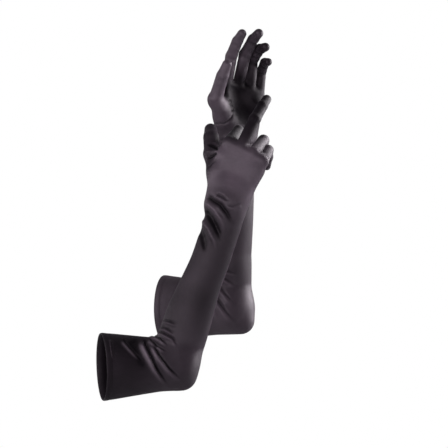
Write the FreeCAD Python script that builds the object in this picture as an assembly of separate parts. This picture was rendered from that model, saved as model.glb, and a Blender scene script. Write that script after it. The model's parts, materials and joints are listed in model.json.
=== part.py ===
"""A pair of opera-length stretch-satin gloves, both filled out to the shape they take on a bent arm.

Each glove is a hollow sleeve and hand.  It bends at the elbow, the wrist, the thumb and every finger
joint.  Where two lengths of sleeve or finger meet, the further one carries a ball-shaped fold of cloth
that turns inside the open end of the nearer one, so the glove stays closed as it bends.

Units are millimetres, +Z is up, and the origin is the centre of the right glove's cuff opening.
Every length of glove has a frame of its own: +Z runs towards the fingertips, +Y towards the back of
the hand (or the outside of the elbow), and a positive turn about +X closes the joint.
"""
import FreeCAD, Part
import math
import os

V = FreeCAD.Vector

# Cloth
CLOTH = 0.8             # stretch satin with its knitted back
BALL_STEP = 0.4         # a ball is this much smaller than the tube that carries it
RUN = 0.3               # free space between a ball and the open end it turns in
EDGE_GAP = 0.5          # free space between two facing cut edges
LEAN_GAP = 2.8          # the same at the wrist and thumb, where one length also leans sideways
SEAM_GAP = 0.12         # between the back and palm pieces, where they are sewn
LAID_GAP = 0.05         # between a thread or seam and the cloth it lies on

# Sleeve
CUFF_R = 49.0           # inside the turned hem
HEM_WIDTH = 13.0
HEM_WALL = 1.6          # the hem is the cloth folded double
THREAD_R = 0.35
THREAD_INSET = 2.0      # from the inner edge of the hem back to the row of stitches
UPPER_LENGTH = 108.0    # cuff opening to elbow centre
ELBOW_R = 36.0          # outside of the forearm sleeve at the elbow
FOREARM_LENGTH = 245.0
WRIST_R = 26.2          # outside of the hand at the wrist
SIDE_SEAM_WIDTH = 1.4
SIDE_SEAM_HEIGHT = 0.9
SIDE_SEAM_START, SIDE_SEAM_END = 56.0, 222.0   # measured along the forearm from the elbow

# Hand: one row per cross-section, (distance from wrist, half width, half thickness, middle)
HAND_SECTIONS = [(0.0, 26.2, 26.2, 0.0), (14.0, 27.5, 25.0, 0.0),
                 (45.0, 35.0, 19.5, -1.0), (90.0, 39.5, 15.5, -2.5)]
KNUCKLE_MIDDLE, KNUCKLE_SLOPE = 79.6, 0.14     # far edge of the back of the hand, and its slant
PALM_CUT_BACK = 8.5     # the palm ends this much short of the back, so the fingers can close

# Fingers: knuckle (distance from wrist, towards the thumb), lengths of the three bones, knuckle radius
FINGERS = {
    "index": dict(knuckle=(85.0, 25.5), bones=(42.0, 26.0, 17.0), radius=9.2),
    "middle": dict(knuckle=(87.0, 5.5), bones=(46.0, 28.0, 18.0), radius=9.2),
    "ring": dict(knuckle=(84.0, -14.0), bones=(43.0, 26.0, 18.0), radius=8.7),
    "little": dict(knuckle=(77.0, -31.5), bones=(34.0, 20.0, 16.0), radius=7.8),
}
LENGTHS = ("base", "middle", "tip")
JOINT_STEP = 0.7        # a tube's open end is this much larger than the next tube
SLIMMING = 0.3          # how much each length of finger narrows towards its far end
TIP_SLIMMING = 0.8
END_PER_MIDDLE = 0.67   # the end joint of a finger follows the middle one

# Thumb: where it leaves the hand (distance from wrist, towards the thumb, towards the palm)
THUMB_ROOT = (38.0, 27.0, 6.0)
THUMB_BONES = (34.0, 34.0, 20.0)
THUMB_R = 12.0

# Furthest angles of the cloth at each joint, counted from a straight glove
ELBOW_TURN = (10.0, 112.0)
WRIST_TURN = (-45.0, 35.0)
KNUCKLE_TURN = (-15.0, 75.0)
MIDDLE_TURN = (0.0, 85.0)
THUMB_SWING = (-3.0, 22.0)      # from rest, away from the fingers is positive
THUMB_BEND = (-14.0, 24.0)      # from rest
GLOVE_SLIDE = (0.0, 120.0)      # the left glove is a separate thing and can be moved away

# Each glove as it is held.  Directions of the thumb are (along the hand, towards the thumb side,
# towards the palm).  Fingers are (knuckle angle, middle angle, lean and roll away from straight).
GLOVES = {
    "right": dict(
        side=1, cuff=(0.0, 0.0, 0.0), upper=(0.985, 0.174, 0.037), forearm=(0.307, 0.0, 0.952),
        hand=(0.342, 0.0, 0.940), dorsal=(-0.20, -0.98, 0.0),
        turns={"index": (60.0, 60.0, 0.0, 0.0), "middle": (22.0, 16.0, 1.0, 0.0),
               "ring": (60.0, 60.0, 0.0, 0.0), "little": (56.0, 60.0, 0.0, 0.0)},
        thumb=((0.65, 0.62, 0.44), (0.60, 0.55, 0.58), (0.55, 0.50, 0.67))),
    "left": dict(
        side=-1, cuff=(84.8, 271.5, 82.0), upper=(0.956, -0.292, 0.0), forearm=(0.030, 0.0, 1.0),
        hand=(0.122, 0.0, 0.993), dorsal=(-0.50, 0.866, 0.0),
        turns={"index": (4.0, 24.0, 0.0, 0.0), "middle": (6.0, 30.0, 0.0, 0.0),
               "ring": (0.0, 42.0, 0.0, 0.0), "little": (-7.0, 50.0, 5.0, 6.0)},
        thumb=((0.71, 0.65, 0.295), (0.963, -0.048, 0.267), (0.956, -0.09, 0.28))),
}


# ---- frames ------------------------------------------------------------------------------------
def unit(v):
    return V(v).normalize()


def frame(origin, along, outward):
    """A frame at origin with +Z along the limb and +Y as near to outward as it can be."""
    z = unit(along)
    y = V(outward) - z * z.dot(V(outward))
    y.normalize()
    x = y.cross(z)
    return FreeCAD.Placement(FreeCAD.Matrix(
        x.x, y.x, z.x, origin.x, x.y, y.y, z.y, origin.y, x.z, y.z, z.z, origin.z, 0, 0, 0, 1))


def moved(place, offset=(0, 0, 0), turn=0.0):
    """The frame carried by an offset in its own axes, then closed by turn degrees."""
    return place.multiply(FreeCAD.Placement(V(*offset), FreeCAD.Rotation(V(1, 0, 0), turn)))


def turned(axis, angle):
    return FreeCAD.Placement(V(0, 0, 0), FreeCAD.Rotation(V(*axis), angle))


def direction(place, axis):
    return place.Rotation.multVec(V(*axis))


# ---- solids ------------------------------------------------------------------------------------
def place_on(place, shape):
    shape.Placement = place.multiply(shape.Placement)
    return shape


def cone(length, near_r, far_r, start=0.0):
    if abs(near_r - far_r) < 1e-6:
        return Part.makeCylinder(near_r, length, V(0, 0, start))
    return Part.makeCone(near_r, far_r, length, V(0, 0, start))


def tube(length, near_r, far_r, wall=CLOTH):
    """An open tube of cloth, outside radii given at its two ends."""
    slope = (far_r - near_r) / length
    spare = 1.0
    inner = cone(length + 2 * spare, near_r - wall - slope * spare, far_r - wall + slope * spare, -spare)
    return cone(length, near_r, far_r).cut(inner)


def closed_tip(length, near_r, far_r):
    """A tube that ends in a rounded fingertip."""
    spare = 1.0
    slope = (far_r - near_r) / length
    outer = cone(length, near_r, far_r).fuse(Part.makeSphere(far_r, V(0, 0, length)))
    inner = cone(length + spare, near_r - CLOTH - slope * spare, far_r - CLOTH, -spare)
    inner = inner.fuse(Part.makeSphere(far_r - CLOTH, V(0, 0, length)))
    return outer.cut(inner)


def beyond(place, reach=400.0):
    """Everything on the fingertip side of a frame's own XY plane."""
    return place_on(place, Part.makeBox(2 * reach, 2 * reach, reach, V(-reach, -reach, 0)))


def cut_near_side(shape, joint, turns, gap=EDGE_GAP):
    """Cuts the far end of the nearer tube so the next one can turn through its whole range."""
    for turn in turns:
        shape = shape.cut(beyond(moved(moved(joint, turn=turn / 2), (0, 0, -gap / 2))))
    return shape


def cut_far_side(shape, joint, turns, gap=EDGE_GAP):
    """Cuts the near end of the further tube to match cut_near_side."""
    for turn in turns:
        keep = beyond(moved(moved(joint, turn=-turn / 2), (0, 0, gap / 2)))
        shape = shape.common(keep)
    return shape


def ball_fold(near_frame, far_frame, tube_r):
    """The ball of cloth at a joint, open along both tubes so the arm or finger passes through."""
    outer = tube_r - BALL_STEP
    wall = min(CLOTH - 0.1, outer / 4)
    opening = outer * 0.70
    ball = Part.makeSphere(outer).cut(Part.makeSphere(outer - wall))
    ball = place_on(FreeCAD.Placement(far_frame), ball)
    ball = ball.cut(place_on(FreeCAD.Placement(far_frame), Part.makeCylinder(opening, 2 * tube_r)))
    return ball.cut(place_on(FreeCAD.Placement(near_frame),
                             Part.makeCylinder(opening, 2 * tube_r, V(0, 0, -2 * tube_r))))


# ---- one glove ---------------------------------------------------------------------------------
def glove_frames(name):
    """Where every joint of one glove is: name -> (frame before the joint, frame after it)."""
    g = GLOVES[name]
    upper_dir, fore_dir = unit(g["upper"]), unit(g["forearm"])
    elbow_axis = upper_dir.cross(fore_dir)
    cuff = V(*g["cuff"])
    elbow = cuff + upper_dir * UPPER_LENGTH
    wrist = elbow + fore_dir * FOREARM_LENGTH
    out = {"cuff": (frame(cuff, upper_dir, upper_dir.cross(elbow_axis)),) * 2}
    out["elbow"] = (frame(elbow, upper_dir, upper_dir.cross(elbow_axis)),
                    frame(elbow, fore_dir, fore_dir.cross(elbow_axis)))
    out["wrist"] = (frame(wrist, fore_dir, g["dorsal"]), frame(wrist, g["hand"], g["dorsal"]))
    hand = out["wrist"][1]
    for finger, f in FINGERS.items():
        along, across = f["knuckle"]
        knuckle, middle, lean, roll = g["turns"][finger]
        near = moved(hand, (g["side"] * across, 0, along))
        near = near.multiply(turned((0, 1, 0), -g["side"] * lean))
        near = near.multiply(turned((0, 0, 1), g["side"] * roll))
        for part, turn in zip(LENGTHS, (knuckle, middle, middle * END_PER_MIDDLE)):
            far = moved(near, turn=turn)
            out[f"{finger}_{part}"] = (near, far)
            near = moved(far, (0, 0, f["bones"][LENGTHS.index(part)]))
    add_thumb_frames(out, hand, g)
    return out


def add_thumb_frames(out, hand, g):
    """The thumb bends across the palm, so its frames close towards the fingers."""
    along, across, palm = THUMB_ROOT
    at = hand.multVec(V(g["side"] * across, -palm, along))
    outward = direction(hand, (g["side"], 0, 0))
    before = unit(direction(hand, hand_axes(g, g["thumb"][0])))
    for part, way, bone in zip(LENGTHS, g["thumb"], THUMB_BONES):
        here = unit(direction(hand, hand_axes(g, way)))
        out[f"thumb_{part}"] = (frame(at, before, outward), frame(at, here, outward))
        at, before = at + here * bone, here


def hand_axes(g, way):
    """(along the hand, towards the thumb, towards the palm) as a direction in the hand's own axes."""
    along, across, palm = way
    return (g["side"] * across, -palm, along)


def upper_sleeve(frames):
    """From the hem to the elbow, cut on the slant so that the forearm can fold up against it."""
    start = HEM_WIDTH + LAID_GAP
    body = tube(UPPER_LENGTH - start, CUFF_R + CLOTH, ELBOW_R + JOINT_STEP)
    at = FreeCAD.Placement(V(0, 0, start), FreeCAD.Rotation())
    body = place_on(frames["cuff"][0], place_on(at, body))
    return cut_near_side(body, frames["elbow"][0], (0.0, ELBOW_TURN[1]))


def hem_and_thread(frames):
    cuff = frames["cuff"][0]
    outer = CUFF_R + HEM_WALL
    hem = Part.makeCylinder(outer, HEM_WIDTH).cut(Part.makeCylinder(CUFF_R, HEM_WIDTH))
    thread = Part.makeTorus(outer + THREAD_R + LAID_GAP, THREAD_R, V(0, 0, HEM_WIDTH - THREAD_INSET))
    return place_on(cuff, hem), place_on(cuff, thread)


def forearm_sleeve(frames):
    """From the elbow to the wrist, with the elbow's ball fold."""
    near, far = frames["elbow"]
    body = place_on(far, tube(FOREARM_LENGTH, ELBOW_R, WRIST_R + JOINT_STEP))
    body = cut_far_side(body, far, (0.0, ELBOW_TURN[1]))
    body = cut_near_side(body, frames["wrist"][0], WRIST_TURN, LEAN_GAP)
    return body.fuse(ball_fold(near, far, ELBOW_R))


def side_seam(frames, outward):
    """The raised seam down the little-finger side of the forearm."""
    near = frames["elbow"][1]
    run = frame(near.Base, direction(near, (0, 0, 1)), outward)
    slope = (ELBOW_R - WRIST_R - JOINT_STEP) / FOREARM_LENGTH
    lean = math.degrees(math.atan(slope))
    length = SIDE_SEAM_END - SIDE_SEAM_START
    strip = Part.makeBox(SIDE_SEAM_WIDTH, SIDE_SEAM_HEIGHT, length, V(-SIDE_SEAM_WIDTH / 2, 0, 0))
    at_r = ELBOW_R - slope * SIDE_SEAM_START + LAID_GAP
    at = FreeCAD.Placement(V(0, at_r, SIDE_SEAM_START), FreeCAD.Rotation(V(1, 0, 0), lean))
    return place_on(run, place_on(at, strip))


def hand_loft(inset, side):
    """The solid inside the hand's outer face, drawn in by inset; side says which way the thumb is."""
    wires = []
    for along, half_width, half_thick, middle in HAND_SECTIONS:
        wide, thick = half_width - inset, half_thick - inset
        ring = Part.Ellipse(V(0, 0, 0), max(wide, thick + 1e-3), thick).toShape()
        wires.append(Part.Wire([ring]))
        wires[-1].Placement = FreeCAD.Placement(V(side * middle, 0, along), FreeCAD.Rotation())
    return Part.makeLoft(wires, True, False)


def slanted_edge(hand, side, short_by):
    """The far side of the line of knuckles, as a cutter."""
    slant = math.degrees(math.atan(KNUCKLE_SLOPE)) * side
    at = FreeCAD.Placement(V(0, 0, KNUCKLE_MIDDLE - short_by), FreeCAD.Rotation(V(0, 1, 0), -slant))
    return beyond(hand.multiply(at))


def thumb_cutters(frames):
    """The space the thumb sweeps where it leaves the hand."""
    near, far = frames["thumb_base"]
    out = [place_on(FreeCAD.Placement(far), Part.makeSphere(THUMB_R + RUN))]
    swings = (THUMB_SWING[0], 0.0, THUMB_SWING[1] / 2, THUMB_SWING[1])
    for swing in swings:
        out.append(place_on(moved(far, turn=-swing), Part.makeCylinder(THUMB_R + 2 * RUN, 60.0)))
    return out


def hand_nodes(frames, side):
    """The back and the palm of the hand, sewn together along both edges."""
    near, hand = frames["wrist"]
    skin = hand_loft(0.0, side).cut(hand_loft(CLOTH, side))
    skin = cut_far_side(place_on(hand, skin), hand, WRIST_TURN, LEAN_GAP)
    skin = skin.fuse(ball_fold(near, hand, WRIST_R))
    for cutter in thumb_cutters(frames):
        skin = skin.cut(cutter)
    reach = 150.0
    half = Part.makeBox(2 * reach, reach, 2 * reach, V(-reach, SEAM_GAP / 2, -reach))
    back = skin.common(place_on(hand, half.copy()))
    palm = skin.common(place_on(hand, place_on(turned((0, 0, 1), 180), half.copy())))
    back = back.cut(slanted_edge(hand, side, 0.0))
    palm = palm.cut(slanted_edge(hand, side, PALM_CUT_BACK))
    return largest(back), largest(palm)


def largest(shape):
    """The piece itself, without any sliver left between the thumb's space and the knuckles."""
    return max(shape.Solids, key=lambda solid: solid.Volume)


def digit_nodes(frames, digit, bones, radius, ranges, gap=EDGE_GAP):
    """The three lengths of a finger or thumb, each turning in the end of the one before."""
    out = []
    for i, part in enumerate(LENGTHS):
        near, far = frames[f"{digit}_{part}"]
        if part == "tip":
            body = closed_tip(bones[i], radius, radius - TIP_SLIMMING)
            body = cut_far_side(place_on(far, body), far, ranges[i], gap)
        else:
            body = place_on(far, tube(bones[i], radius, radius - SLIMMING))
            body = cut_far_side(body, far, ranges[i], gap)
            body = cut_near_side(body, frames[f"{digit}_{LENGTHS[i + 1]}"][0], ranges[i + 1], gap)
        out.append(body.fuse(ball_fold(near, far, radius)))
        radius -= SLIMMING + JOINT_STEP
    return out


def thumb_ranges(frames):
    """The thumb's bend counted from straight, for the slanted cuts at its middle and end joints."""
    out = [(0.0, 0.0)]
    for part in LENGTHS[1:]:
        near, far = frames[f"thumb_{part}"]
        rest = math.degrees(direction(near, (0, 0, 1)).getAngle(direction(far, (0, 0, 1))))
        out.append((THUMB_BEND[0] - rest, THUMB_BEND[1] + rest))
    return out


def glove(name):
    """Every piece of one glove, in place."""
    g, frames = GLOVES[name], glove_frames(name)
    hem, thread = hem_and_thread(frames)
    back, palm = hand_nodes(frames, g["side"])
    little_side = direction(frames["wrist"][1], (-g["side"], 0, 0))
    nodes = {"hem_band": hem, "hem_stitching": thread, "upper_sleeve": upper_sleeve(frames),
             "forearm_sleeve": forearm_sleeve(frames), "side_seam": side_seam(frames, little_side),
             "hand_back": back, "palm": palm}
    end_turn = tuple(t * END_PER_MIDDLE for t in MIDDLE_TURN)
    for finger, f in FINGERS.items():
        ranges = ((0.0, 0.0), MIDDLE_TURN, end_turn)
        for part, body in zip(LENGTHS, digit_nodes(frames, finger, f["bones"], f["radius"], ranges)):
            nodes[f"{finger}_{part}"] = body
    thumb = digit_nodes(frames, "thumb", THUMB_BONES, THUMB_R, thumb_ranges(frames), LEAN_GAP)
    for part, body in zip(LENGTHS, thumb):
        nodes[f"thumb_{part}"] = body
    return {f"{name}_{node}": shape for node, shape in nodes.items()}


def main():
    os.makedirs("parts", exist_ok=True)
    for name in GLOVES:
        for node, shape in glove(name).items():
            if len(shape.Solids) != 1 or not shape.isValid():
                print("check", node, len(shape.Solids), shape.isValid())
            shape.exportStep(f"parts/{node}.step")


main()
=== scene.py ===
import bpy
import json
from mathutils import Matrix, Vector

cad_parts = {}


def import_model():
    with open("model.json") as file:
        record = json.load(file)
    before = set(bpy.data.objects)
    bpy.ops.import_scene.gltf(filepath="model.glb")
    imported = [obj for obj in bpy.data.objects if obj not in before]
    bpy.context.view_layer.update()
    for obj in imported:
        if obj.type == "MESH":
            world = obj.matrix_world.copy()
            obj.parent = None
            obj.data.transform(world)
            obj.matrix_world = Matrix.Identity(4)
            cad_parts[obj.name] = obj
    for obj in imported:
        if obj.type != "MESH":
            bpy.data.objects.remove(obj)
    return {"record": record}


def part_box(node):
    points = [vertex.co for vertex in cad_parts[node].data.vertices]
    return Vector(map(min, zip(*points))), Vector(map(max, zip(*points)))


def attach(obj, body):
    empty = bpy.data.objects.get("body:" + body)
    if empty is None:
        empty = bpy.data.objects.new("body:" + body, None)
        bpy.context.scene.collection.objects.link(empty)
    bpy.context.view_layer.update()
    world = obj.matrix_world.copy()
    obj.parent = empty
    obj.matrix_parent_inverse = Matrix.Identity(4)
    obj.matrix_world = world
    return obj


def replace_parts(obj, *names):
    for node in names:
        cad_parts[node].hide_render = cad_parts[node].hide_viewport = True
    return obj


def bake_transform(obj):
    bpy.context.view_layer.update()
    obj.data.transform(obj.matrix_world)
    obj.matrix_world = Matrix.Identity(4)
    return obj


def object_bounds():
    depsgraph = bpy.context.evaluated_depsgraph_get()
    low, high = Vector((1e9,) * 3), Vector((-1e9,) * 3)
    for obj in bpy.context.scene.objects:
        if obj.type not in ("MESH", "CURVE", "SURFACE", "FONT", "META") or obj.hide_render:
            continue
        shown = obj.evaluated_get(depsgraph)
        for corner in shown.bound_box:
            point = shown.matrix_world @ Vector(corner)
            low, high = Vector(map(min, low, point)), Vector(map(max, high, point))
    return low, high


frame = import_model()

import json
import math
from collections import namedtuple

import bmesh
import bpy
import numpy as np
from mathutils import Vector
from mathutils.bvhtree import BVHTree

CAD_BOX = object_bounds()

# Lengths in this script are millimetres in the row frame, until a mesh is made (metres).
MM = 0.001
GRID = 1.35             # spacing of the grid the skin is drawn from
CLOTH = 1.0             # thickness of the satin
DIGITS = ("index", "middle", "ring", "little", "thumb")
SIDES = {"right": 1.0, "left": -1.0}    # which way along the wrist's axis the thumb lies

RECORD = frame["record"]
JOINTS = {j["name"]: j for j in RECORD["behaviour"]["joints"]}
MOUNTS = {m["name"]: m for m in RECORD["mounts"]}


# ---- sizes of the filled-out gloves --------------------------------------------------------------
# A digit's radii at its knuckle, its bend, its end joint and its tip, and the length of its tip.
DIGIT_R = {"index": (9.1, 8.5, 7.8, 6.8), "middle": (9.1, 8.6, 7.9, 6.9),
           "ring": (8.8, 8.3, 7.6, 6.6), "little": (8.0, 7.4, 6.8, 5.9),
           "thumb": (13.0, 12.0, 10.8, 8.8)}
TIP_BONE = {"index": 17.0, "middle": 18.0, "ring": 18.0, "little": 16.0, "thumb": 20.0}
THUMB_MORE = {"right": 0.4, "left": -1.5}       # how much fuller than that each thumb is
# Where the cloth of a finger or thumb lies off its joints, from knuckle to tip.
LOOSE = {("right", "thumb"): ((0, 0, 0), (1.5, 0, 0), (6.5, -2, 0), (8.5, -3, 0)),
         ("right", "little"): ((0, 0, 0), (-4, 0, 0), (-4, 0, 0), (-3, 0, 0)),
         ("left", "thumb"): ((0, 0, 0), (-1.5, 0, 0), (-1.5, 0, 0), (-0.5, 0, 0)),
         ("left", "middle"): ((0, 0, 0), (1.5, 0, 0), (2.5, 0, 0), (2.5, 0, 0)),
         ("left", "ring"): ((0, 0, 0), (-1, 0, -1), (-1.5, 0, -3), (-2, 0, -5)),
         ("left", "little"): ((0, 0, 0), (-2, 0, 0), (-5, 0, 0), (-7, 0, -2))}
# Sleeves: (distance from the elbow, half width, how far it hangs towards the point of the elbow)
FOREARM = {
    "right": ((0, 33.0, 0.0), (43, 35.0, 0.5), (82, 33.5, 0.0), (123, 29.5, 2.0),
              (158, 28.0, 5.0), (219, 27.7, 5.5), (245, 28.0, 3.5)),
    "left": ((0, 32.5, -3.5), (42, 33.0, -3.5), (102, 31.5, -1.0), (161, 30.0, 1.5),
             (219, 28.4, 1.0), (245, 28.0, 0.0)),
}
UPPER = ((0, 36.5, 0.0), (45, 42.0, 0.0), (90, 48.0, 0.0), (130, 51.8, 0.0))
CUFF_SLIP = {"right": 3.0, "left": 6.0}         # how far the cuff has slipped down the arm
# The bony point of the elbow: how far out it is, its radius, and where it has run out.
POINT_OUT = {"right": 24.5, "left": 28.0}
POINT_R, POINT_REACH = 13.5, 62.0
# Flat of the hand: (along from the wrist, towards the thumb, half width, half thickness)
HAND_TABLE = ((-4, 0, 26, 19), (22, 0.5, 28.5, 17.2), (45, -0.5, 33, 15), (65, -2, 36.5, 13),
              (83, -3, 38.5, 11))
CROWN = 0.0022          # how much the back of the hand arches
KNUCKLE_SLOPE = 0.14    # the line of knuckles leans towards the little finger
# Cones in the hand: (start, end, start radius, end radius, softness), where a place is
# (along from the wrist, towards the thumb, towards the palm).
WRIST_CONES = (((-2, -7.0, 0), (22, -9.8, 0), 19.5, 17.5, 12.0),
               ((-2, 7.0, 0), (22, 9.8, 0), 19.5, 17.5, 12.0))
PALM_CONES = (((14, -14, 6), (58, -25, 5), 14.5, 11.0, 12.0),
              ((30, 18, 4), (62, 26, 3), 12.5, 9.5, 10.0))
THUMB_START, THUMB_ROOT_R = (8, 10, 5), 14.5
# The web of cloth between hand and thumb: (where it leaves the hand, how far up the thumb)
WEB = {"right": ((66, 30, 6), 0.1), "left": ((56, 30, 6), -0.1)}
HAND_EVENING = 24       # times the flat of the hand is evened, for stretched satin bridges the bones
# The hem band's section: (along from the cuff's edge, out from the skin), as one closed loop.
HEM_PROFILE = ((12.9, -1.2), (12.0, -1.9), (6.0, -2.0), (0.8, -1.9), (-0.3, -1.4), (-0.7, -0.6),
               (-0.5, 0.2), (0.3, 0.8), (2.0, 1.15), (6.0, 1.25), (9.4, 1.05), (10.0, 0.72),
               (10.6, 1.05), (12.4, 0.95), (13.0, 0.55), (12.9, 0.0))
HEM_AT, HEM_TAPER = 6.0, 0.134      # where the cuff's radius is taken, and how fast it narrows
HEM_STEPS = 220
STITCHES, STITCH_AT, STITCH_OUT, STITCH_HALF, STITCH_R = 88, 10.0, 0.95, 1.15, 0.32
# The side seam's section: (across, out from the skin), and where along the forearm it runs.
SEAM_PROFILE = ((-1.3, -0.5), (-0.7, 0.35), (0.0, 0.75), (0.7, 0.35), (1.3, -0.5))
SEAM_SPAN, SEAM_STEPS = (56.0, 226.0), 130
# Pieces of skin meet at these shares of a length, where nothing turns.
MEET = {"upper": 0.52, "forearm_low": 0.36, "forearm_high": 0.72, "base": 0.62, "middle": 0.5}
# How far the cloth would bend on either side of a joint; no piece is made to bend.
KNUCKLE_BEND, KNUCKLE_BEND_LEAST = 18.0, 6.0


# ---- where things are --------------------------------------------------------------------------
def unit(v):
    v = np.asarray(v, float)
    return v / np.linalg.norm(v)


def at_joint(name):
    return np.array(JOINTS[name]["pos_m"]) * 1000.0


def box_middle(node):
    lo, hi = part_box(node)
    return np.array((lo + hi) / 2) * 1000.0


def first_joint(digit):
    return "thumb_swing" if digit == "thumb" else f"{digit}_knuckle"


def skeleton(glove):
    """Joint centres and directions of one glove, from the CAD record."""
    s = {"name": glove}
    mouth = np.array(MOUNTS[f"{glove}_cuff"]["pos_m"]) * 1000.0
    s["elbow"], s["wrist"] = at_joint(f"{glove}_elbow"), at_joint(f"{glove}_wrist")
    s["up_dir"] = unit(s["elbow"] - mouth)
    s["cuff"] = mouth + s["up_dir"] * CUFF_SLIP[glove]
    s["fore_dir"] = unit(s["wrist"] - s["elbow"])
    across = unit(JOINTS[f"{glove}_wrist"]["axis"])
    reach = at_joint(f"{glove}_middle_knuckle") - s["wrist"]
    s["hand_dir"] = unit(reach - across * (reach @ across))
    s["thumbward"] = across * SIDES[glove]
    s["back"] = unit(np.cross(s["hand_dir"], across))
    for digit in DIGITS:
        points = [at_joint(f"{glove}_{first_joint(digit)}"), at_joint(f"{glove}_{digit}_bend"),
                  at_joint(f"{glove}_{digit}_end")]
        way = unit(box_middle(f"{glove}_{digit}_tip") - points[2])
        points.append(points[2] + way * TIP_BONE[digit])
        s[digit] = points
        off = np.array(LOOSE.get((glove, digit), ((0, 0, 0),) * 4), float)
        s[digit + "_cloth"] = [p + o for p, o in zip(points, off)]
    return s


def in_hand(s, along, thumbward=0.0, palmward=0.0):
    return s["wrist"] + s["hand_dir"] * along + s["thumbward"] * thumbward - s["back"] * palmward


# ---- the filled-out shape, as a distance field --------------------------------------------------
# distance(points) is how far points lie from the bone's face, and soft how gently it joins others.
Bone = namedtuple("Bone", "start end widest soft distance")


def cone(start, end, r0, r1, soft):
    """A length with rounded ends whose radius runs from r0 to r1."""
    run = end - start

    def distance(p):
        t = np.clip(((p - start) @ run) / (run @ run), 0, 1)
        return np.linalg.norm(p - start - t[..., None] * run, axis=-1) - (r0 + (r1 - r0) * t)

    return Bone(start, end, max(r0, r1), soft, distance)


def sleeve(start, way, outer, table, soft):
    """A limb given by its half widths and how far its middle hangs to the outer side."""
    where, width, hang = np.array(table, float).T
    step = np.arange(0.0, where[-1] + 1.0)
    blur = np.exp(-(np.arange(-30, 31) / 12.0) ** 2)
    blur /= blur.sum()
    width, hang = (np.convolve(np.pad(np.interp(step, where, v), 30, "edge"), blur, "valid")
                   for v in (width, hang))
    side = unit(outer - way * (outer @ way))
    end = start + way * where[-1]
    run = end - start

    def distance(p):
        t = np.clip(((p - start) @ run) / (run @ run), 0, 1)
        at = t * np.linalg.norm(run)
        middle = start + t[..., None] * run + np.interp(at, step, hang)[..., None] * side
        return np.linalg.norm(p - middle, axis=-1) - np.interp(at, step, width)

    return Bone(start, end, width.max() + abs(hang).max(), soft, distance)


def slab(s):
    """The flat of the hand between wrist and knuckles."""
    along, middle, width, thick = np.array(HAND_TABLE, float).T
    axes = np.array([s["hand_dir"], s["thumbward"], s["back"]])

    def distance(p):
        a, c, d = np.moveaxis((p - s["wrist"]) @ axes.T, -1, 0)
        end = along[-1] - 3 + KNUCKLE_SLOPE * np.clip(c, -36, 30)
        at = np.clip(a, along[0], end)
        r = np.interp(at, along, thick)
        beside = np.abs(c - np.interp(at, along, middle)) - np.interp(at, along, width) + r
        deep = np.abs(d) + CROWN * np.clip(c, -40, 40) ** 2
        return np.sqrt(np.maximum(beside, 0) ** 2 + deep ** 2 + (a - at) ** 2) - r

    return Bone(s["wrist"], in_hand(s, along[-1]), width.max() + 4.0, 12.0, distance)


def limb_bones(s):
    """Arm, hand and the root of the thumb."""
    name, elbow = s["name"], s["elbow"]
    outer = unit(s["up_dir"] - s["fore_dir"])
    point = elbow + outer * POINT_OUT[name]
    root, bend, end = s["thumb_cloth"][:3]
    web_start, web_share = WEB[name]

    def hand_cones(table):
        return [cone(in_hand(s, *start), in_hand(s, *stop), *rest) for start, stop, *rest in table]

    return [sleeve(elbow, -s["up_dir"], outer, UPPER, 8.0),
            sleeve(elbow, s["fore_dir"], outer, FOREARM[name], 12.0),
            cone(point, elbow + s["fore_dir"] * POINT_REACH, POINT_R, 25.0, 12.0),
            cone(point, elbow - s["up_dir"] * POINT_REACH, POINT_R, 32.0, 12.0),
            *hand_cones(WRIST_CONES),
            slab(s),
            cone(in_hand(s, *THUMB_START), root, 15.5, THUMB_ROOT_R, 12.0),
            cone(root, bend, THUMB_ROOT_R, DIGIT_R["thumb"][1] + THUMB_MORE[name], 10.0),
            *hand_cones(PALM_CONES),
            cone(in_hand(s, *web_start), bend + (end - bend) * web_share, 7.0, 7.5, 12.0)]


def digit_bones(s, digit):
    """A finger's three lengths, or the outer two of the thumb, whose first is in limb_bones."""
    radii = np.array(DIGIT_R[digit]) + (THUMB_MORE[s["name"]] if digit == "thumb" else 0)
    points = s[digit + "_cloth"]
    return [cone(points[i], points[i + 1], radii[i], radii[i + 1], 2.5 if i else 3.0)
            for i in range(1 if digit == "thumb" else 0, 3)]


def soft_union(a, b, k):
    h = np.maximum(k - np.abs(a - b), 0.0) / k
    return np.minimum(a, b) - h * h * k * 0.25


class Field:
    """Signed distance sampled on a regular grid."""

    def __init__(self, bones):
        pad = 6.0
        lo = np.min([np.minimum(b.start, b.end) - b.widest for b in bones], 0) - pad
        hi = np.max([np.maximum(b.start, b.end) + b.widest for b in bones], 0) + pad
        self.lo = lo
        self.n = np.ceil((hi - lo) / GRID).astype(int) + 1
        self.values = np.full(self.n, 30.0, np.float32)
        for bone in bones:
            self.add(bone)

    def add(self, bone):
        r = bone.widest + bone.soft + 2 * GRID
        lo = (np.minimum(bone.start, bone.end) - r - self.lo) / GRID
        hi = (np.maximum(bone.start, bone.end) + r - self.lo) / GRID
        i0 = np.clip(np.floor(lo).astype(int), 0, self.n)
        i1 = np.clip(np.ceil(hi).astype(int) + 1, 0, self.n)
        axes = [self.lo[k] + GRID * np.arange(i0[k], i1[k]) for k in range(3)]
        p = np.stack(np.meshgrid(*axes, indexing="ij"), -1)
        part = tuple(slice(a, b) for a, b in zip(i0, i1))
        self.values[part] = soft_union(self.values[part], bone.distance(p), bone.soft)


CORNERS = [(i, j, k) for i in (0, 1) for j in (0, 1) for k in (0, 1)]
CELL_EDGES = [(a, b) for a in range(8) for b in range(a + 1, 8)
              if sum(x != y for x, y in zip(CORNERS[a], CORNERS[b])) == 1]


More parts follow.
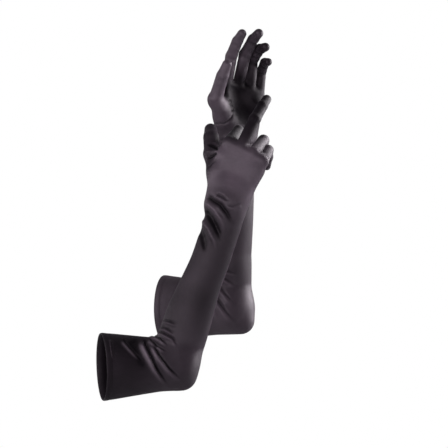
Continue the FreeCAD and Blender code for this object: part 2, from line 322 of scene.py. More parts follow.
def surface_of(field):
    """Vertices and outward-facing quads of the field's zero level."""
    f = field.values
    inside = f < 0
    nx, ny, nz = (n - 1 for n in f.shape)
    count = sum(inside[i:nx + i, j:ny + j, k:nz + k].astype(np.int8) for i, j, k in CORNERS)
    active = (count > 0) & (count < 8)
    cells = np.argwhere(active)
    values = np.stack([f[cells[:, 0] + i, cells[:, 1] + j, cells[:, 2] + k] for i, j, k in CORNERS], 1)
    total, hits = np.zeros((len(cells), 3)), np.zeros(len(cells))
    for a, b in CELL_EDGES:
        crossing = (values[:, a] < 0) != (values[:, b] < 0)
        va, vb = values[crossing, a], values[crossing, b]
        t = (va / (va - vb))[:, None]
        ca, cb = np.array(CORNERS[a], float), np.array(CORNERS[b], float)
        total[crossing] += ca + t * (cb - ca)
        hits[crossing] += 1
    verts = field.lo + GRID * (cells + total / hits[:, None])
    number = np.full(active.shape, -1)
    number[active] = np.arange(len(cells))
    quads = []
    for axis in range(3):
        u, v = (axis + 1) % 3, (axis + 2) % 3
        near = np.take(inside, range(f.shape[axis] - 1), axis)
        far = np.take(inside, range(1, f.shape[axis]), axis)
        edges = np.argwhere(near != far)
        ok = np.all([(edges[:, k] > 0) & (edges[:, k] < f.shape[k] - 1) for k in (u, v)], 0)
        edges = edges[ok]
        ring = []
        for du, dv in ((-1, -1), (0, -1), (0, 0), (-1, 0)):
            cell = edges.copy()
            cell[:, u] += du
            cell[:, v] += dv
            ring.append(number[tuple(cell.T)])
        quad = np.stack(ring, 1)
        leaving = near[tuple(edges.T)]
        quad[~leaving] = quad[~leaving][:, ::-1]
        quads.append(quad)
    return verts, np.concatenate(quads)


def edges_of(quads):
    e = np.concatenate([quads[:, [i, (i + 1) % 4]] for i in range(4)])
    return np.unique(np.sort(e, 1), axis=0)


def neighbour_mean(values, edges, n):
    out = np.zeros((n, values.shape[1]))
    count = np.bincount(edges.ravel(), minlength=n)
    for k in range(values.shape[1]):
        out[:, k] = np.bincount(edges[:, 0], values[edges[:, 1], k], n)
        out[:, k] += np.bincount(edges[:, 1], values[edges[:, 0], k], n)
    return out / np.maximum(count, 1)[:, None]


def relaxed(verts, quads, times):
    """Evens out the steps of the grid without shrinking the shape."""
    edges = edges_of(quads)
    for _ in range(times):
        for push in (0.5, -0.52):
            verts = verts + push * (neighbour_mean(verts, edges, len(verts)) - verts)
    return verts


def vertex_normals(verts, faces):
    """Outward unit vector at every vertex, from faces of three or four corners."""
    out = np.zeros_like(verts)
    for corners in (3, 4):
        group = np.array([f for f in faces if len(f) == corners], int).reshape(-1, corners)
        a, b, c, last = (verts[group[:, i]] for i in (0, 1, 2, -1))
        face = np.cross(c - a, last - b)
        for corner in group.T:
            for k in range(3):
                out[:, k] += np.bincount(corner, face[:, k], len(verts))
    return out / np.maximum(np.linalg.norm(out, axis=1), 1e-9)[:, None]


# ---- folds -------------------------------------------------------------------------------------
def smooth(x, lo, hi):
    t = np.clip((x - lo) / (hi - lo), 0, 1)
    return t * t * (3 - 2 * t)


def fold(points, line, width, height, furrow=0):
    """Height of one fold over flat points: a rounded ridge along the line.

    furrow is +1 or -1 for a sharp hollow along the line's left or right, and 0 for none.
    width is the half width at the start and at the end of the line.
    """
    line = np.array(line, float)
    seg = np.diff(line, axis=0)
    length = np.linalg.norm(seg, axis=1)
    run = np.concatenate([[0], np.cumsum(length)])
    best = np.full(len(points), 1e9)
    side, where = np.zeros(len(points)), np.zeros(len(points))
    for i in range(len(seg)):
        rel = points - line[i]
        t = np.clip((rel @ seg[i]) / length[i] ** 2, 0, 1)
        d = np.linalg.norm(rel - t[:, None] * seg[i], axis=1)
        nearer = d < best
        best = np.where(nearer, d, best)
        left = np.sign(seg[i][0] * rel[:, 1] - seg[i][1] * rel[:, 0])
        side = np.where(nearer, left * d, side)
        where = np.where(nearer, run[i] + t * length[i], where)
    share = where / run[-1]
    u = side / (width[0] + (width[1] - width[0]) * share)
    shape = np.exp(-u ** 2)
    if furrow:
        shape -= 0.9 * np.exp(-((u - furrow * 1.5) / 0.6) ** 2)
    taper = smooth(share, -0.02, 0.12) * smooth(-share, -1.0, -0.55)
    return height * taper * shape


# Elbow folds in the plane the elbow bends in: millimetres from the elbow, (towards the hand's
# side, up).  Each is (line, half widths, height, side of its furrow).
ELBOW_FOLDS = {
    "right": [
        (((-48, 33), (-39, 15), (-27, -9), (-8, -35)), (4.2, 2.2), 4.0, 1),
        (((-33, 27), (-22, 9), (-8, -9), (12, -27)), (3.4, 2.4), 3.2, 1),
        (((-75, 34), (-62, 20), (-45, 2)), (2.3, 1.9), 2.2, 1),
        (((-92, 38), (-90, 22), (-87, 6)), (1.8, 1.5), 1.3, 1),
        (((-60, 36), (-50, 14), (-38, -10)), (6.0, 5.0), -1.6, 0),
        (((-37, 35), (-24, 24), (-9, 16)), (2.1, 1.7), 2.6, 1),
        (((-36, 41), (-21, 35), (-8, 26)), (2.1, 1.7), 2.6, 1),
        (((-33, 47), (-17, 43), (-3, 36), (6, 24)), (2.1, 1.8), 2.4, 1),
        (((-29, 53), (-11, 49), (3, 40)), (2.1, 1.8), 1.8, 1),
        (((-26, 60), (-8, 60), (8, 54)), (2.4, 2.2), 1.1, 1),
    ],
    "left": [
        (((-34, 34), (-22, 10), (-10, -6), (8, -26)), (4.0, 2.8), 1.8, 1),
        (((-30, 42), (-12, 22), (6, 2)), (3.4, 2.6), 1.5, 1),
        (((-34, 30), (-28, 8), (-18, -20)), (4.4, 3.0), 1.8, -1),
        (((-30, 48), (-10, 42), (10, 30)), (2.4, 2.2), 1.5, 1),
        (((-28, 56), (-8, 54), (12, 46)), (2.4, 2.2), 1.2, 1),
        (((-70, 34), (-58, 18), (-44, -2)), (3.0, 2.6), 1.2, 1),
    ],
}
# Folds of the wrist and hand: millimetres from the wrist, (away from the thumb, along the hand).
# Each is (face, line, half widths, height, side of its furrow); face is 1 back, -1 palm.
HAND_FOLDS = {
    "right": [
        (1, ((-12, 9), (-2, 8), (10, 5)), (2.0, 1.5), -1.8, 0),
        (1, ((-27, 2), (-13, -2), (-1, -4), (12, -12), (28, -28)), (3.8, 2.8), -3.4, 0),
        (1, ((-24, -8), (-8, -14), (6, -23), (20, -39)), (3.4, 3.0), 2.2, 0),
        (1, ((-23, -19), (-9, -27), (1, -34), (11, -44), (19, -56)), (4.6, 3.0), -4.0, 0),
        (1, ((-24, -33), (-6, -43), (8, -56), (18, -72)), (3.2, 2.6), 2.2, 0),
        (1, ((-26, -45), (-10, -58), (3, -78)), (4.4, 3.2), -2.6, 0),
        (1, ((28, 4), (18, -3), (4, -6)), (3.0, 2.4), 0.8, -1),
        (-1, ((-26, 8), (-6, 3), (18, 6)), (3.2, 3.0), 1.3, -1),
        (-1, ((-26, -8), (-4, -14), (20, -10)), (3.4, 3.0), 1.4, -1),
        (-1, ((-22, -26), (0, -34), (20, -30)), (3.6, 3.2), 1.1, 1),
        (0, ((-35, 78), (-48, 88), (-64, 96)), (1.8, 3.4), -2.4, 0),
        (0, ((-36, 73), (-49, 78), (-62, 82)), (1.4, 2.4), 1.4, 0),
        (0, ((-36, 70), (-48, 72), (-60, 72)), (1.4, 2.6), -3.0, 0),
        (0, ((-36, 68), (-47, 64), (-57, 61)), (1.3, 2.2), 1.2, 0),
        (0, ((-36, 65), (-43, 58), (-50, 52)), (1.6, 2.6), -3.0, 0),
        (0, ((-33, 57), (-38, 46), (-42, 36)), (1.8, 2.2), -1.8, 0),
    ],
    "left": [
        (-1, ((-30, 8), (-8, 3), (20, 8)), (3.2, 2.8), 1.2, -1),
        (-1, ((-28, -6), (-4, -12), (22, -8)), (3.4, 3.0), 1.3, -1),
        (-1, ((-26, -22), (-2, -28), (20, -24)), (3.6, 3.0), 1.0, 1),
        (-1, ((-46, 24), (-32, 27), (-24, 36), (-17, 50)), (1.5, 1.3), -1.9, 0),
        (-1, ((-16, 62), (-24, 64), (-30, 65)), (1.5, 1.4), -1.2, 0),
        (-1, ((-15, 57), (-23, 57), (-29, 56)), (1.5, 1.4), -1.2, 0),
        (-1, ((-14, 52), (-21, 49), (-27, 46)), (1.5, 1.4), -1.1, 0),
        (1, ((-26, 6), (-4, 2), (20, 5)), (3.2, 3.0), 1.1, 1),
        (1, ((-24, -10), (0, -14), (20, -11)), (3.4, 3.0), 1.2, -1),
    ],
}

# Hollows of the palm: (along the hand, towards the thumb, radius, depth)
PALM_HOLLOWS = {"right": ((56, 2, 20, 4.0),), "left": ((60, 4, 18, 7.0), (80, 10, 17, 7.0))}
FAR_FOLDS = (5.0, -6.0)             # the folds of the far face of the elbow lie this much to one side
ELBOW_REACH, WRIST_REACH = 125.0, 95.0      # how far from a joint its folds may reach
DIGITS_FROM = 30.0                  # past this distance from the wrist there are finger creases
SWELL, SWELL_SIZE, SWELL_SEED = 0.16, 60.0, {"right": 3, "left": 5}


def elbow_relief(s, p):
    """Folds fan out from the crook of the elbow over both faces of the sleeve."""
    toward = p[:, 1] - s["elbow"][1]
    flat = np.stack([p[:, 0] - s["elbow"][0], p[:, 2] - s["elbow"][2]], 1)
    flat[toward > 0] += FAR_FOLDS
    out = np.zeros(len(p))
    for line, width, height, furrow in ELBOW_FOLDS[s["name"]]:
        out += fold(flat, line, width, height, furrow)
    edge = smooth(np.abs(toward), 3.0, 15.0)
    return out * (0.3 + 0.7 * edge)


def hand_relief(s, p):
    rel = p - s["wrist"]
    flat = np.stack([-(rel @ s["thumbward"]), rel @ s["hand_dir"]], 1)
    facing = rel @ s["back"]
    out = np.zeros(len(p))
    for face, line, width, height, furrow in HAND_FOLDS[s["name"]]:
        share = smooth(facing * face, -6.0, 5.0) if face else 1.0
        out += share * fold(flat, line, width, height, furrow)
    return out


def waves(p, seed, size):
    """Slow random swell, the same every run."""
    rng = np.random.RandomState(seed)
    out = np.zeros(len(p))
    for _ in range(14):
        k = rng.normal(size=3) * 2 * math.pi / size * 0.6
        out += np.sin(p @ k + rng.uniform(0, 6.28))
    return out / 3.7


def digit_relief(s, p):
    """Short creases across the inside of every finger joint, and slack cloth on the back."""
    out = np.zeros(len(p))
    for digit in DIGITS:
        points = s[digit + "_cloth"]
        for i in (1, 2):
            before, after = unit(points[i] - points[i - 1]), unit(points[i + 1] - points[i])
            along = unit(before + after)
            r = DIGIT_R[digit][i]
            rel = p - points[i]
            t = rel @ along
            near = np.exp(-(np.linalg.norm(rel - t[:, None] * along, axis=1) / (1.6 * r)) ** 6)
            inner = after - before
            size = np.linalg.norm(inner)
            inward = (rel @ inner / size) / r if size > 0.15 else np.full(len(p), 0.4)
            crease = np.cos(t / r * 4.4 + 0.5) * np.exp(-(t / (1.1 * r)) ** 2)
            out -= 0.6 * near * crease * (0.2 + 0.8 * np.clip(inward, 0, 1))
    return out


def palm_hollow(s, p, normals):
    """The palm is cupped, most of all under the fingers."""
    rel = p - s["wrist"]
    depth = smooth(-(rel @ s["back"]), 0.0, 8.0) * smooth(-(normals @ s["back"]), 0.1, 0.6)
    out = np.zeros(len(p))
    for along, thumbward, size, deep in PALM_HOLLOWS[s["name"]]:
        d = (rel @ s["hand_dir"] - along) ** 2 + (rel @ s["thumbward"] - thumbward) ** 2
        out -= deep * np.exp(-d / size ** 2)
    return out * depth


def relief(s, p, normals):
    """Height of all the folds and creases at each point."""
    out = np.zeros(len(p))
    near_elbow = np.linalg.norm(p - s["elbow"], axis=1) < ELBOW_REACH
    out[near_elbow] += elbow_relief(s, p[near_elbow])
    near_wrist = np.linalg.norm(p - s["wrist"], axis=1) < WRIST_REACH
    out[near_wrist] += hand_relief(s, p[near_wrist])
    hand = (p - s["wrist"]) @ s["hand_dir"] > DIGITS_FROM
    out[hand] += digit_relief(s, p[hand])
    out[hand] += palm_hollow(s, p[hand], normals[hand])
    return out + SWELL * waves(p, SWELL_SEED[s["name"]], SWELL_SIZE)


# ---- one glove's skin --------------------------------------------------------------------------
def glove_skin(s):
    """Outer face of the glove as vertices and quads, running on past the cuff."""
    field = Field(limb_bones(s) + [b for d in DIGITS for b in digit_bones(s, d)])
    verts, quads = surface_of(field)
    verts = relaxed(verts, quads, 3)
    verts = evened_hand(s, verts, quads)
    normals = vertex_normals(verts, quads)
    verts = verts + normals * relief(s, verts, normals)[:, None]
    return relaxed(verts, quads, 1), quads


def evened_hand(s, verts, quads):
    """Stretched satin bridges the bones of the hand, so the back and palm are one smooth face."""
    rel = verts - s["wrist"]
    along, across = rel @ s["hand_dir"], rel @ s["thumbward"]
    share = smooth(along, -30.0, 5.0) * (1 - smooth(along - KNUCKLE_SLOPE * across, 62.0, 82.0))
    share *= 1 - 0.8 * smooth(across, 24.0, 36.0) * smooth(along, 30.0, 45.0)
    edges = edges_of(quads)
    for _ in range(HAND_EVENING):
        for push in (0.6, -0.58):
            step = neighbour_mean(verts, edges, len(verts)) - verts
            verts = verts + push * share[:, None] * step
    return verts


def cut_at_cuff(s, verts, quads):
    """Trims the sleeve square at the cuff opening, and returns plain arrays again."""
    mesh = bpy.data.meshes.new("trim")
    mesh.from_pydata([tuple(v) for v in verts], [], [tuple(q) for q in quads])
    bm = bmesh.new()
    bm.from_mesh(mesh)
    start = s["cuff"] + s["up_dir"] * 1.0
    geom = bm.verts[:] + bm.edges[:] + bm.faces[:]
    bmesh.ops.bisect_plane(bm, geom=geom, dist=0.02, plane_co=Vector(start),
                           plane_no=Vector(s["up_dir"]), clear_inner=True)
    bmesh.ops.triangulate(bm, faces=[f for f in bm.faces if len(f.verts) > 4])
    bm.verts.index_update()
    v = np.array([x.co for x in bm.verts])
    faces = [[x.index for x in f.verts] for f in bm.faces]
    bm.free()
    bpy.data.meshes.remove(mesh)
    return v, faces


# ---- which cloth is where ----------------------------------------------------------------------
def lengths_of(s):
    """(body, start, end, radius) for every length of the glove."""
    out = [("upper", s["cuff"] - s["up_dir"] * 30, s["elbow"], 44.0),
           ("forearm", s["elbow"], s["wrist"], 30.0)]
    for lateral, reach in ((-24.0, 64), (-8.0, 72), (8.0, 72), (22.0, 72)):
        out.append(("hand", in_hand(s, 6, lateral * 0.5), in_hand(s, reach, lateral), 15.0))
    for digit in DIGITS:
        for i, part in enumerate(("base", "middle", "tip")):
            out.append((f"{digit}_{part}", s[digit][i], s[digit][i + 1], DIGIT_R[digit][i + 1]))
    return out


def nearness(s, p):
    """For each point and each length: how far along the length it is, and how far from its face."""
    lengths = lengths_of(s)
    along = np.empty((len(p), len(lengths)))
    far = np.empty_like(along)
    for i, (_, a, b, r) in enumerate(lengths):
        along[:, i] = ((p - a) @ (b - a)) / ((b - a) @ (b - a))
        near = np.clip(along[:, i], 0, 1)[:, None] * (b - a)
        far[:, i] = np.linalg.norm(p - a - near, axis=1) - r
    return lengths, along, far


def piece_of(s, p):
    """The piece of skin that each point belongs to."""
    lengths, along, far = nearness(s, p)
    which = far.argmin(1)
    share = along[np.arange(len(p)), which]
    parts = np.array([body for body, *_ in lengths])[which]
    out = np.full(len(p), "hand_middle", dtype=object)
    out[parts == "upper"] = "cuff_end"
    out[(parts == "upper") & (share > MEET["upper"])] = "elbow"
    out[parts == "forearm"] = "forearm_middle"
    out[(parts == "forearm") & (share <= MEET["forearm_low"])] = "elbow"
    out[(parts == "forearm") & (share > MEET["forearm_high"])] = "wrist"
    for digit in DIGITS:
        base, middle, tip = (parts == f"{digit}_{x}" for x in ("base", "middle", "tip"))
        out[base] = first_joint(digit)
        out[middle | base & (share > MEET["base"])] = f"{digit}_bend"
        out[tip | middle & (share > MEET["middle"])] = f"{digit}_end"
    return out


# Painted light and shade over each length, as a paler or deeper satin colour and shine: 0 painted shade,
# 1 painted light.
# The hand has two values, for its back and its palm.
PAINTED_LIGHT = {
    "right": {"upper": 0.08, "elbow": 0.42, "wrist": 0.45, "forearm": 0.16, "hand": (1.0, 0.3),
              "thumb": 0.25, "index": 0.05, "middle": 0.05, "ring": 0.45, "little": 0.5},
    "left": {"upper": 0.40, "elbow": 0.0, "wrist": 0.1, "forearm": 0.25, "hand": (1.0, 0.0),
             "thumb": 0.8, "index": 0.75, "middle": 0.4, "ring": 0.1, "little": 0.1},
}
# Painted highlight along the side seam.
SEAM_PAINTED_LIGHT = 0.7
PAINTED_LIGHT_ROUND = {"elbow": 52.0, "wrist": 34.0}      # how far round a joint its extra painted light reaches
FOLD_PAINTED_LIGHT = 0.19        # painted light on a fold's crest and painted shade in its furrow or hollow, per millimetre of its height


def cloth_of(s, p):
    """The way the cloth's threads run at each point, and the painted light and shade there."""
    lengths, _, far = nearness(s, p)
    past = far - far.min(1, keepdims=True)
    way = np.exp(-past / 3.0) @ np.array([unit(b - a) for _, a, b, _ in lengths])
    weight = np.exp(-past / 5.0)
    table = PAINTED_LIGHT[s["name"]]
    back, palm = table["hand"]
    on_hand = palm + (back - palm) * smooth((p - s["wrist"]) @ s["back"], -4.0, 6.0)
    stretch = np.zeros(len(p))
    for i, (body, *_) in enumerate(lengths):
        stretch += weight[:, i] * (on_hand if body == "hand" else table[body.split("_")[0]])
    stretch /= weight.sum(1)
    for joint, radius in PAINTED_LIGHT_ROUND.items():
        stretch += table[joint] * np.exp(-np.sum((p - s[joint]) ** 2, 1) / radius ** 2)
    return way / np.linalg.norm(way, axis=1)[:, None], np.minimum(stretch, 1.0)


# ---- Blender objects ---------------------------------------------------------------------------
def make_object(name, verts, faces, material):
    mesh = bpy.data.meshes.new(name)
    mesh.from_pydata([tuple(v) for v in np.asarray(verts) * MM], [], [tuple(f) for f in faces])
    mesh.validate()
    mesh.shade_smooth()
    mesh.materials.append(material)
    obj = bpy.data.objects.new(name, mesh)
    bpy.context.scene.collection.objects.link(obj)
    return obj


def add_cloth(obj, ways, stretch):
    """Gives the material the threads' direction and the painted light and shade at every vertex."""
    a = obj.data.attributes.new("grain", "FLOAT_VECTOR", "POINT")
    a.data.foreach_set("vector", np.asarray(ways, np.float32).ravel())
    a = obj.data.attributes.new("stretch", "FLOAT", "POINT")
    a.data.foreach_set("value", np.asarray(stretch, np.float32))


def rim(faces, n):
    """Joins the outer and inner faces along every open edge, so the piece is closed."""
    edges = set((a, b) for f in faces for a, b in zip(f, f[1:] + f[:1]))
    return [[b, a, a + n, b + n] for a, b in sorted(edges) if (b, a) not in edges]


def build_glove(s, material):
    """The glove's pieces of cloth, each a closed shell, and where the skin of each one lies."""
    verts, faces = cut_at_cuff(s, *glove_skin(s))
    normals = vertex_normals(verts, faces)
    # Painted light and shade at every vertex, which the material turns into a paler or deeper colour and
    # shine.
    grain, stretch = cloth_of(s, verts)
    # Painted light on fold crests, painted shade in furrows and in the palm's hollows.
    stretch = np.clip(stretch + FOLD_PAINTED_LIGHT * relief(s, verts, normals), 0.0, 1.0)
    place = piece_of(s, np.array([verts[f].mean(0) for f in faces]))
    made, used = {}, {}
    for piece in sorted(set(place)):
        part = [faces[i] for i in np.flatnonzero(place == piece)]
        used[piece] = sorted({v for face in part for v in face})
        index = {v: k for k, v in enumerate(used[piece])}
        part = [[index[v] for v in face] for face in part]
        at, n = np.array(used[piece]), len(index)
        shell = np.concatenate([verts[at], verts[at] - normals[at] * CLOTH])
        inner = [[v + n for v in reversed(face)] for face in part]
        obj = make_object(f"{s['name']}_{piece}_skin", shell, part + inner + rim(part, n), material)
        obj.data.normals_split_custom_set_from_vertices(
            [tuple(x) for x in np.concatenate([normals[at], -normals[at]])])
        add_cloth(obj, np.concatenate([grain[at]] * 2), np.concatenate([stretch[at]] * 2))
        made[piece] = obj
    return made, {piece: (set(ids), verts) for piece, ids in used.items()}


def bend_piece(obj, bodies):
    """Bakes the piece's transform into its mesh; the piece is not made to bend."""
    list(bodies)
    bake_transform(obj)


def fasten(s, made, skins):
    """Fastens the cuff end, forearm and hand pieces to their bodies, and hides the CAD solids that the
    sleeve, hand and digit pieces stand for.
    """
    g = s["name"]
    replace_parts(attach(made["cuff_end"], f"{g}_upper"), f"{g}_upper_sleeve")
    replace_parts(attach(made["forearm_middle"], f"{g}_forearm"), f"{g}_forearm_sleeve")
    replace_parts(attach(made["hand_middle"], f"{g}_hand"), f"{g}_hand_back", f"{g}_palm")
    bend_piece(made["elbow"], (f"{g}_upper", f"{g}_forearm"))
    bend_piece(made["wrist"], (f"{g}_forearm", f"{g}_hand"))
    for digit in DIGITS:
        names = (first_joint(digit), f"{digit}_bend", f"{digit}_end")
        base, middle, tip = (f"{g}_{digit}_{part}" for part in ("base", "middle", "tip"))
        points = s[digit]
        ways = [unit(b - a) for a, b in zip(points, points[1:])]
        start, stop = knuckle_bend(points, ways[0], skins, names)
        bend_piece(made[names[0]], (f"{g}_hand", base))
        for i, bodies in ((1, (base, middle)), (2, (middle, tip))):
            bend_piece(made[names[i]], bodies)
        for name, node in zip(names, (base, middle, tip)):
            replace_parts(made[name], node)


def knuckle_bend(points, way, skins, names):
    """Where a digit's first piece would bend: past its edge with the hand, and before the next piece."""
    first, following = names[:2]
    others = set().union(*(ids for piece, (ids, _) in skins.items() if piece not in (first, following)))
    ids, verts = skins[first]
    edge = verts[np.array(sorted(others & ids))]
    start = ((edge - points[0]) @ way).max() + 0.5
    room = np.linalg.norm(points[1] - points[0]) * MEET["base"] - 1.0
    return start, min(start + KNUCKLE_BEND, max(room, start + KNUCKLE_BEND_LEAST))


# ---- hem and seam ------------------------------------------------------------------------------
def skin_tree(objects, outer_only=False):
    """A tree for finding the skin of some pieces; the outer half of a piece's faces come first."""
    verts, faces = [], []
    for obj in objects:
        own = [tuple(i + len(verts) for i in poly.vertices) for poly in obj.data.polygons]
        faces += own[:len(own) // 2] if outer_only else own
        verts += [tuple(v.co / MM) for v in obj.data.vertices]
    return BVHTree.FromPolygons(verts, faces)


def tube_faces(rows, corners, first=0, closed=False):
    """Faces of a tube made of rows of corners; closed joins the last row to the first."""
    faces = []
    for i in range(rows if closed else rows - 1):
        here, there = first + i * corners, first + (i + 1) % rows * corners
        for k in range(corners):
            k2 = (k + 1) % corners
            faces.append([here + k, here + k2, there + k2, there + k])
    if not closed:
        faces.append([first + k for k in reversed(range(corners))])
        faces.append([first + (rows - 1) * corners + k for k in range(corners)])
    return faces


def round_cuff(s, tree, count):
    """Ways out from the middle of the cuff, all round it, each with the skin's radius there."""
    a = unit(np.cross(s["up_dir"], (0, 1, 0)))
    b = unit(np.cross(s["up_dir"], a))
    origin = Vector(s["cuff"] + s["up_dir"] * HEM_AT)
    for i in range(count):
        angle = 2 * math.pi * i / count
        way = a * math.cos(angle) + b * math.sin(angle)
        yield way, tree.ray_cast(origin, Vector(way))[3] or UPPER[-1][1]


def on_cuff(s, way, radius, along, out):
    """The place this far along the cuff and this far out from its narrowing skin."""
    return s["cuff"] + s["up_dir"] * along + way * (radius - HEM_TAPER * (along - HEM_AT) + out)


def build_hem(s, tree, material, thread):
    g = s["name"]
    verts = [on_cuff(s, way, r, along, out) for way, r in round_cuff(s, tree, HEM_STEPS)
             for along, out in HEM_PROFILE]
    faces = tube_faces(HEM_STEPS, len(HEM_PROFILE), closed=True)
    band = make_object(f"{g}_hem_skin", verts, faces, material)
    # The hem band takes the upper sleeve's painted shade.
    add_cloth(band, [s["up_dir"]] * len(verts), [PAINTED_LIGHT[g]["upper"]] * len(verts))
    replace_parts(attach(band, f"{g}_upper"), f"{g}_hem_band")
    verts, faces = [], []
    for way, r in round_cuff(s, tree, STITCHES):
        run = np.cross(s["up_dir"], way)
        add_stitch(verts, faces, on_cuff(s, way, r, STITCH_AT, STITCH_OUT), run, way)
    stitches = make_object(f"{g}_stitches", verts, faces, thread)
    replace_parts(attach(stitches, f"{g}_upper"), f"{g}_hem_stitching")


def add_stitch(verts, faces, centre, run, out):
    """One stitch: a short bead of thread that dips into the cloth at both ends."""
    third = np.cross(run, out)
    steps, sides = 6, 6
    faces += tube_faces(steps, sides, len(verts))
    for i in range(steps):
        t = -1 + 2 * i / (steps - 1)
        size = STITCH_R * math.sqrt(max(1 - t * t * 0.93, 0.02))
        mid = centre + run * t * STITCH_HALF - out * 0.25 * t * t
        for k in range(sides):
            a = 2 * math.pi * k / sides
            verts.append(mid + out * size * math.cos(a) + third * size * math.sin(a))


def build_side_seam(s, tree, material):
    """A thin raised seam down the little-finger side of the forearm."""
    g = s["name"]
    outward = unit(-s["thumbward"] + s["fore_dir"] * (s["thumbward"] @ s["fore_dir"]))
    across = np.cross(s["fore_dir"], outward)
    verts = []
    for d in np.linspace(*SEAM_SPAN, SEAM_STEPS):
        origin = s["elbow"] + s["fore_dir"] * d
        r = tree.ray_cast(Vector(origin), Vector(outward))[3] or FOREARM[g][-1][1]
        verts += [origin + outward * (r + h) + across * w for w, h in SEAM_PROFILE]
    seam = make_object(f"{g}_side_seam_skin", verts, tube_faces(SEAM_STEPS, len(SEAM_PROFILE)), material)
    add_cloth(seam, [s["fore_dir"]] * len(verts), [SEAM_PAINTED_LIGHT] * len(verts))
    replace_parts(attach(seam, f"{g}_forearm"), f"{g}_side_seam")


# ---- materials ---------------------------------------------------------------------------------
class Nodes:
    """Short hand for building one material."""

    def __init__(self, name):
        self.mat = bpy.data.materials.new(name)
        self.mat.use_nodes = True
        self.tree = self.mat.node_tree
        self.tree.nodes.clear()

    def add(self, kind, **inputs):
        node = self.tree.nodes.new("ShaderNode" + kind)
        for key, value in inputs.items():
            self.put(node.inputs[key.replace("_", " ")], value)
        return node

    def put(self, socket, value):
        if isinstance(value, bpy.types.NodeSocket):
            self.tree.links.new(value, socket)
        else:
            socket.default_value = value

    def maths(self, operation, a, b):
        node = self.tree.nodes.new("ShaderNodeVectorMath")
        node.operation = operation
        self.put(node.inputs[0], a)
        if operation == "SCALE":
            self.put(node.inputs["Scale"], b)
        else:
            self.put(node.inputs[1], b)
        return node


# Plum base colours at the two ends of the painted light and shade: painted shade, then painted light.
SHADED_COLOUR, LIT_COLOUR = (0.0050, 0.0035, 0.0054), (0.125, 0.095, 0.121)


def satin_material(name, lift=1.0, anisotropy=0.85):
    """Near-black plum satin: its threads run along the limb, so light spreads across them."""
    n = Nodes(name)
    place = n.add("NewGeometry").outputs["Position"]
    grain = n.add("Attribute")
    grain.attribute_name = "grain"
    grain = grain.outputs["Vector"]
    along = n.maths("DOT_PRODUCT", place, grain).outputs["Value"]
    stretched = n.maths("SCALE", grain, along).outputs["Vector"]
    drawn_out = n.maths("SCALE", stretched, 0.9).outputs["Vector"]
    streaky = n.maths("SUBTRACT", place, drawn_out).outputs["Vector"]
    tint = n.add("ValToRGB", Fac=n.add("TexNoise", Vector=place, Scale=22.0, Detail=3.0).outputs["Fac"])
    low, high = tint.color_ramp.elements
    low.position, high.position = 0.3, 0.7
    low.color, high.color = (0.72, 0.72, 0.74, 1), (1.15, 1.12, 1.15, 1)
    # Painted light and shade: this vertex attribute sets the base colour between a deep and a pale plum,
    # and the shine with it.
    stretch = n.add("Attribute")
    stretch.attribute_name = "stretch"
    shade = n.add("ValToRGB", Fac=stretch.outputs["Fac"])
    shaded_end, lit_end = shade.color_ramp.elements
    shaded_end.color = tuple(c * lift for c in SHADED_COLOUR) + (1,)
    lit_end.color = tuple(c * lift for c in LIT_COLOUR) + (1,)
    colour = n.maths("MULTIPLY", tint.outputs["Color"], shade.outputs["Color"]).outputs["Vector"]
    threads = n.add("TexNoise", Vector=streaky, Scale=900.0, Detail=2.0).outputs["Fac"]
    rough = n.add("MapRange", Value=threads, To_Min=0.46, To_Max=0.60)
    uneven = n.add("TexNoise", Vector=place, Scale=160.0, Detail=4.0, Roughness=0.6)
    soft = n.add("Bump", Strength=0.30, Distance=0.0008, Height=uneven.outputs["Fac"])
    weave = n.add("Bump", Strength=0.35, Distance=0.0003, Height=threads, Normal=soft.outputs["Normal"])
    shine = n.add("MapRange", Value=stretch.outputs["Fac"], To_Min=0.30, To_Max=0.80)
    end_on = n.maths("DOT_PRODUCT", n.add("NewGeometry").outputs["Normal"], grain).outputs["Value"]
    end_on = n.add("Math", Value=end_on)
    end_on.operation = "ABSOLUTE"
    spread = n.add("MapRange", Value=end_on.outputs["Value"], From_Min=0.45, From_Max=0.85,
                   To_Min=anisotropy, To_Max=0.0)
    bsdf = n.add("BsdfPrincipled", Base_Color=colour, Roughness=rough.outputs["Result"],
                 Specular_IOR_Level=shine.outputs["Result"], Specular_Tint=(1.0, 0.84, 0.97, 1),
                 Anisotropic=spread.outputs["Result"], Anisotropic_Rotation=0.25, Tangent=grain,
                 Sheen_Weight=0.03, Sheen_Roughness=0.5, Sheen_Tint=(0.85, 0.78, 0.92, 1),
                 Normal=weave.outputs["Normal"])
    n.add("OutputMaterial", Surface=bsdf.outputs["BSDF"])
    return n.mat


# ---- studio ------------------------------------------------------------------------------------
FLOOR_GAP = 0.035               # metres from the gloves' lowest point down to the floor
LIT_POINT = (0.12, 0.12, 0.2)   # metres; every lamp points here
# Round lamps: (place in metres, size in metres, power in watts)
LAMPS = {"key": ((-1.3, -1.9, 0.75), 1.3, 25), "fill": ((0.2, -2.2, 0.9), 1.2, 4),
         "rim_right": ((1.65, 0.85, 0.60), 1.1, 40), "rim_left": ((-1.6, 0.8, 0.4), 0.8, 4)}
WORLD_LIGHT = 0.10
# The camera looks level along +Y from far off: the middle of its view (x, z) and the view's width.
VIEW_MIDDLE, VIEW_WIDTH, VIEW_FROM = (179.8, 207.35), 649.6, 10000.0


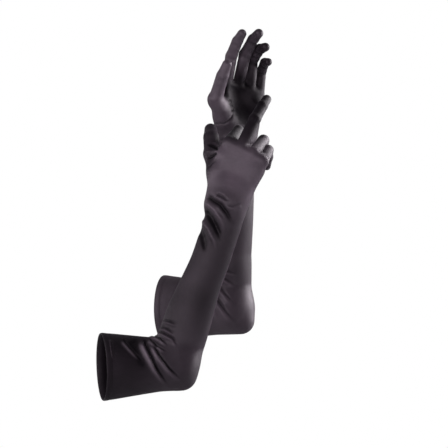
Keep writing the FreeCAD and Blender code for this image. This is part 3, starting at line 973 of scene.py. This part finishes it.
def backdrop_material():
    """Pale sweep that reads as white, and reflects little light back on the gloves."""
    n = Nodes("backdrop")
    paper = n.add("BsdfDiffuse", Color=(0.55, 0.55, 0.56, 1))
    lit = n.add("Emission", Color=(1, 1, 1, 1), Strength=1.0)
    seen = n.add("LightPath").outputs["Is Camera Ray"]
    mix = n.add("MixShader", Fac=seen)
    n.put(mix.inputs[1], paper.outputs["BSDF"])
    n.put(mix.inputs[2], lit.outputs["Emission"])
    open_back = n.add("MixShader", Fac=n.add("NewGeometry").outputs["Backfacing"])
    n.put(open_back.inputs[1], mix.outputs["Shader"])
    n.put(open_back.inputs[2], n.add("BsdfTransparent").outputs["BSDF"])
    n.add("OutputMaterial", Surface=open_back.outputs["Shader"])
    return n.mat


def sweep(floor_z):
    """Floor that curves up into a back wall."""
    flat, bend, top = 1.2, 0.9, 4.5
    profile = [(-4.0, 0.0), (flat, 0.0)]
    for i in range(1, 13):
        a = math.pi / 2 * i / 12
        profile.append((flat + bend * math.sin(a), bend - bend * math.cos(a)))
    profile.append((flat + bend, top))
    verts = [np.array((x, y, floor_z + z)) / MM for y, z in profile for x in (-5.0, 5.0)]
    faces = [(2 * i, 2 * i + 1, 2 * i + 3, 2 * i + 2) for i in range(len(profile) - 1)]
    return make_object("backdrop", verts, faces, backdrop_material())


def lamp(name, where, size, power):
    light = bpy.data.lights.new(name, "AREA")
    light.shape, light.size, light.energy = "DISK", size, power
    obj = bpy.data.objects.new(name, light)
    obj.location = where
    aim = Vector(LIT_POINT) - Vector(where)
    obj.rotation_euler = aim.to_track_quat("-Z", "Y").to_euler()
    bpy.context.scene.collection.objects.link(obj)
    return obj


def world(strength):
    """Pale surround, white to the camera and dim as a light."""
    made = bpy.data.worlds.new("studio")
    made.use_nodes = True
    nodes, links = made.node_tree.nodes, made.node_tree.links
    back = nodes["Background"]
    back.inputs["Color"].default_value = (1, 1, 1, 1)
    seen = nodes.new("ShaderNodeLightPath").outputs["Is Camera Ray"]
    level = nodes.new("ShaderNodeMapRange")
    level.inputs["To Min"].default_value, level.inputs["To Max"].default_value = strength, 1.0
    links.new(seen, level.inputs["Value"])
    links.new(level.outputs["Result"], back.inputs["Strength"])
    bpy.context.scene.world = made


def studio():
    """White surround with soft lamps about level with the gloves."""
    world(WORLD_LIGHT)
    sweep(CAD_BOX[0].z - FLOOR_GAP)
    [lamp(name, *of) for name, of in LAMPS.items()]
    bpy.context.scene.view_settings.view_transform = "Standard"


def camera():
    cam = bpy.data.cameras.new("camera")
    cam.sensor_width = 36.0
    cam.lens = cam.sensor_width * VIEW_FROM / VIEW_WIDTH
    cam.clip_end = 50
    obj = bpy.data.objects.new("camera", cam)
    obj.location = (VIEW_MIDDLE[0] * MM, -VIEW_FROM * MM, VIEW_MIDDLE[1] * MM)
    obj.rotation_euler = (math.pi / 2, 0, 0)
    bpy.context.scene.collection.objects.link(obj)
    bpy.context.scene.camera = obj


# ---- build -------------------------------------------------------------------------------------
satin = satin_material("black_satin")
# The seam's satin is painted 1.3 times paler, a painted highlight along the seam.
seam_satin = satin_material("seam_satin", 1.3)
thread = satin_material("thread", 0.8, 0.0)
for glove in SIDES:
    skel = skeleton(glove)
    pieces, skins = build_glove(skel, satin)
    fasten(skel, pieces, skins)
    build_hem(skel, skin_tree([pieces["cuff_end"]]), satin, thread)
    forearm = [pieces[name] for name in ("elbow", "forearm_middle", "wrist")]
    build_side_seam(skel, skin_tree(forearm, outer_only=True), seam_satin)
studio()
camera()
